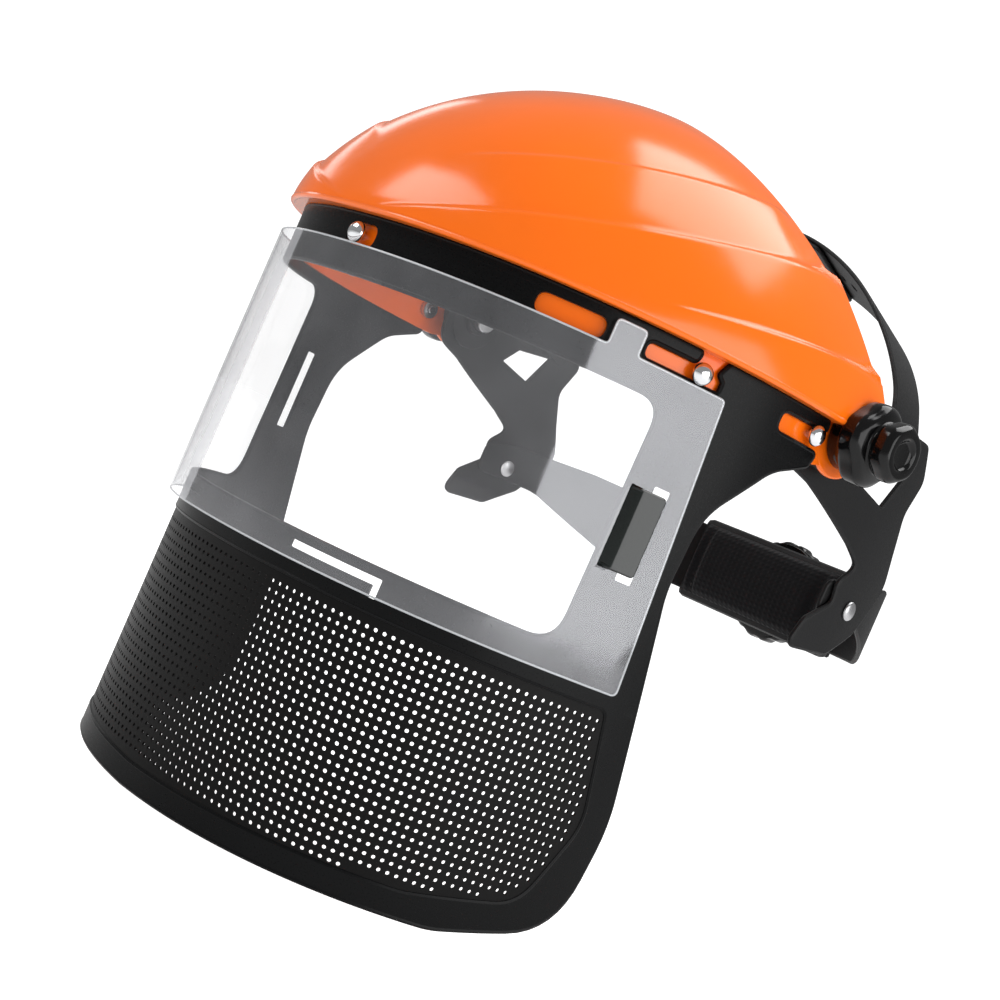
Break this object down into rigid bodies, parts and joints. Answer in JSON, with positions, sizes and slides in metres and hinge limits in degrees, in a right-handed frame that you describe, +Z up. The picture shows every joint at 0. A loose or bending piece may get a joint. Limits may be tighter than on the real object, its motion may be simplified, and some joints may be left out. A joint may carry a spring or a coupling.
{
  "type": "face shield",
  "caption": "Brow-guard face shield with a clear window above a mesh lower visor, tilting on temple knobs over a ratchet headgear.",
  "frame": {"origin": "centre of the forehead pad's flat inner face", "axes": "+Z up, -Y to the front of the shield, +Y into the wearer's head, +X towards the wearer's left"},
  "size_m": [0.261, 0.2992, 0.284],
  "materials": {
    "orange_shell": "injection-moulded glossy orange shell",
    "visor_plastic": "smooth satin-gloss black moulding",
    "mesh_nylon": "black nylon mesh",
    "clear_film": "clear polycarbonate sheet, slightly hazy",
    "headgear_plastic": "black strap plastic with a fine moulded grain",
    "pad_foam": "cloth-faced foam pad",
    "knob_plastic": "glossy black moulded knob",
    "washer_rubber": "matt friction washer",
    "stud_chrome": "polished domed head",
    "steel": "plain zinc-plated steel",
    "brass": "turned brass"
  },
  "bodies": {
    "headgear": {"brow_band": "headgear_plastic", "sweatband": "pad_foam", "temple_plate_left": "headgear_plastic", "temple_plate_right": "headgear_plastic", "top_strap_left": "headgear_plastic", "top_strap_right": "headgear_plastic", "top_strap_peg": "headgear_plastic", "nape_strap_left": "headgear_plastic", "nape_strap_right": "headgear_plastic", "nape_housing": "headgear_plastic", "nape_cover": "headgear_plastic", "nape_pad": "pad_foam", "ratchet_ring": "steel", "pivot_bolt_left": "steel", "pivot_bolt_right": "steel", "friction_washer_left": "washer_rubber", "friction_washer_right": "washer_rubber", "band_rivet_left": "steel", "band_rivet_right": "steel", "nape_rivet_left": "steel", "nape_rivet_right": "steel", "strap_rivet_left": "steel", "strap_rivet_right": "steel"},
    "brow_guard": {"crown_shell": "orange_shell", "visor_frame": "visor_plastic", "mesh_panel": "mesh_nylon", "window_film": "clear_film", "visor_stud_centre": "stud_chrome", "visor_stud_left_front": "stud_chrome", "visor_stud_left_rear": "stud_chrome", "visor_stud_right_front": "stud_chrome", "visor_stud_right_rear": "stud_chrome", "stud_nut_centre": "steel", "stud_nut_left_front": "steel", "stud_nut_left_rear": "steel", "stud_nut_right_front": "steel", "stud_nut_right_rear": "steel"},
    "left_knob": {"temple_knob_left": "knob_plastic", "knob_insert_left": "brass"},
    "right_knob": {"temple_knob_right": "knob_plastic", "knob_insert_right": "brass"},
    "ratchet_dial": {"ratchet_knob": "knob_plastic", "pinion": "headgear_plastic", "knob_screw": "steel"},
    "left_rack": {"rack_left": "headgear_plastic"},
    "right_rack": {"rack_right": "headgear_plastic"}
  },
  "joints": [
    {"name": "visor_tilt", "type": "hinge", "parent": "headgear", "child": "brow_guard", "pos_m": [0, 0.0568, -0.018], "axis": [-1, 0, 0], "range_deg": [0, 55]},
    {"name": "left_knob_turn", "type": "hinge", "parent": "headgear", "child": "left_knob", "pos_m": [0.12, 0.0568, -0.018], "axis": [1, 0, 0], "range_deg": [0, 270]},
    {"name": "right_knob_turn", "type": "hinge", "parent": "headgear", "child": "right_knob", "pos_m": [-0.12, 0.0568, -0.018], "axis": [-1, 0, 0], "range_deg": [0, 270]},
    {"name": "ratchet_turn", "type": "hinge", "parent": "headgear", "child": "ratchet_dial", "pos_m": [0, 0.1883, -0.073], "axis": [0, -1, 0], "range_deg": [0, 190]},
    {"name": "left_rack_slide", "type": "slide", "parent": "headgear", "child": "left_rack", "axis": [-1, 0, 0], "range_m": [0, 0.015]},
    {"name": "right_rack_slide", "type": "slide", "parent": "headgear", "child": "right_rack", "axis": [1, 0, 0], "range_m": [0, 0.015]}
  ],
  "couplings": [
    {"joint": "left_rack_slide", "follows": "ratchet_turn", "m_per_rad": 0.00445},
    {"joint": "right_rack_slide", "follows": "ratchet_turn", "m_per_rad": 0.00445}
  ]
}
